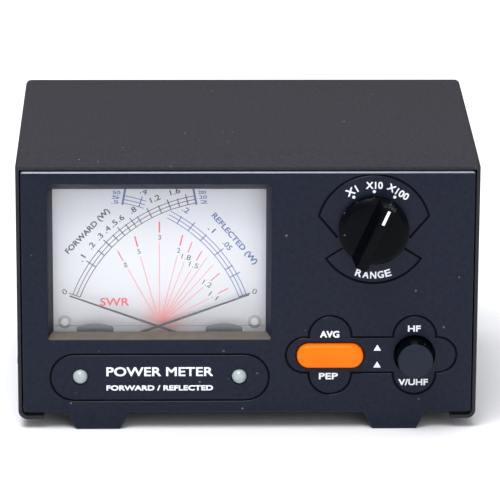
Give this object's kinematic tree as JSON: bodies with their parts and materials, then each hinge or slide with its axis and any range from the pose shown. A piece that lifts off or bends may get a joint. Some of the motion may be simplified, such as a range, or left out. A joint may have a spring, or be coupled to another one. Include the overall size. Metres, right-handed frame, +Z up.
{
  "type": "swr meter",
  "caption": "Desk-top radio SWR and power meter with a crossed-needle dial, range knob, push buttons and rear coaxial sockets.",
  "frame": {"origin": "bottom centre of the bounding box, on the surface that the feet stand on", "axes": "+Z up, front panel facing -Y, +X to the right as seen from the front"},
  "size_m": [0.1582, 0.132, 0.0944],
  "materials": {
    "cover_steel": "fine textured dark grey enamel, matte",
    "chassis_steel": "zinc plated",
    "panel_plastic": "moulded, fine leather grain, slight sheen",
    "rubber_feet": "matte",
    "zinc_screws": "zinc plated",
    "black_screws": "black oxide, satin",
    "housing_plastic": "moulded",
    "clear_cover": "clear polished acrylic",
    "dial_face": "white enamel with printed scales",
    "white_nylon": "natural nylon",
    "bridge_metal": "satin",
    "iron": "soft iron, dull",
    "magnet": "ground",
    "needle_black": "matte black",
    "coil_wire": "enamelled copper wire",
    "spring_bronze": "phosphor bronze",
    "led_epoxy": "water-clear epoxy, slightly milky",
    "circuit_board": "solder-masked glass fibre",
    "brass_parts": "turned",
    "knob_plastic": "polished black",
    "pointer_white": "white inlay",
    "switch_metal": "nickel plated",
    "rotor_plastic": "natural acetal",
    "orange_plastic": "moulded orange, soft gloss",
    "button_black": "moulded black, soft gloss",
    "spring_steel": "spring steel",
    "box_tinplate": "tin plated",
    "socket_nickel": "nickel plated",
    "socket_insulator": "white fluoropolymer",
    "contact_plate": "gold flashed",
    "jack_plastic": "moulded black",
    "black_wire": "vinyl insulation",
    "red_wire": "vinyl insulation"
  },
  "bodies": {
    "case": {"cover": "cover_steel", "chassis": "chassis_steel", "rear_panel": "cover_steel", "front_panel": "panel_plastic", "rear_feet": "rubber_feet", "foot_screws": "zinc_screws", "cover_screws": "black_screws", "rear_panel_screws": "black_screws", "panel_screws": "zinc_screws", "meter_housing": "housing_plastic", "meter_cover": "clear_cover", "dial_plate": "dial_face", "dial_screws": "white_nylon", "front_bridges": "bridge_metal", "rear_bridges": "bridge_metal", "magnet_yokes": "iron", "core_magnets": "magnet", "meter_screws": "zinc_screws", "indicator_leds": "led_epoxy", "led_board": "circuit_board", "front_board": "circuit_board", "board_standoffs": "brass_parts", "board_screws": "zinc_screws", "range_switch": "switch_metal", "range_washer": "zinc_screws", "range_nut": "zinc_screws", "peak_switch": "switch_metal", "band_switch": "switch_metal", "coupler_boxes": "box_tinplate", "coupler_lids": "box_tinplate", "coupler_boards": "circuit_board", "through_lines": "brass_parts", "socket_shells": "socket_nickel", "socket_insulators": "socket_insulator", "socket_contacts": "contact_plate", "socket_screws": "zinc_screws", "dc_jack": "jack_plastic", "dc_jack_pin": "zinc_screws", "dc_jack_nut": "zinc_screws", "coupler_leads": "black_wire", "meter_leads": "red_wire", "power_leads": "red_wire"},
    "forward_movement": {"forward_needle": "needle_black", "forward_coil": "coil_wire", "forward_hairspring": "spring_bronze"},
    "reflected_movement": {"reflected_needle": "needle_black", "reflected_coil": "coil_wire", "reflected_hairspring": "spring_bronze"},
    "range_selector": {"range_knob": "knob_plastic", "knob_pointer": "pointer_white", "range_shaft": "switch_metal", "range_rotor": "rotor_plastic"},
    "peak_key": {"peak_button": "orange_plastic", "peak_plunger": "white_nylon", "peak_spring": "spring_steel"},
    "band_key": {"band_button": "button_black", "band_plunger": "white_nylon", "band_spring": "spring_steel"}
  },
  "joints": [
    {"name": "forward_swing", "type": "hinge", "parent": "case", "child": "forward_movement", "pos_m": [-0.0078, -0.0405, 0.026], "axis": [0, 1, 0], "range_deg": [0, 60], "stiffness_Nm_per_rad": 0.0002, "springref_deg": -11.46, "deforming": ["forward_hairspring"]},
    {"name": "reflected_swing", "type": "hinge", "parent": "case", "child": "reflected_movement", "pos_m": [-0.0514, -0.0405, 0.026], "axis": [0, -1, 0], "range_deg": [0, 60], "stiffness_Nm_per_rad": 0.0002, "springref_deg": -11.46, "deforming": ["reflected_hairspring"]},
    {"name": "range_turn", "type": "hinge", "parent": "case", "child": "range_selector", "pos_m": [0.0421, -0.053, 0.071], "axis": [0, 1, 0], "range_deg": [-60, 0]},
    {"name": "peak_press", "type": "slide", "parent": "case", "child": "peak_key", "axis": [0, 1, 0], "range_m": [-0.0035, 0.0005], "deforming": ["peak_spring"]},
    {"name": "band_press", "type": "slide", "parent": "case", "child": "band_key", "axis": [0, 1, 0], "range_m": [0, 0.0035], "stiffness_N_per_m": 200, "springref_m": -0.003, "deforming": ["band_spring"]}
  ]
}
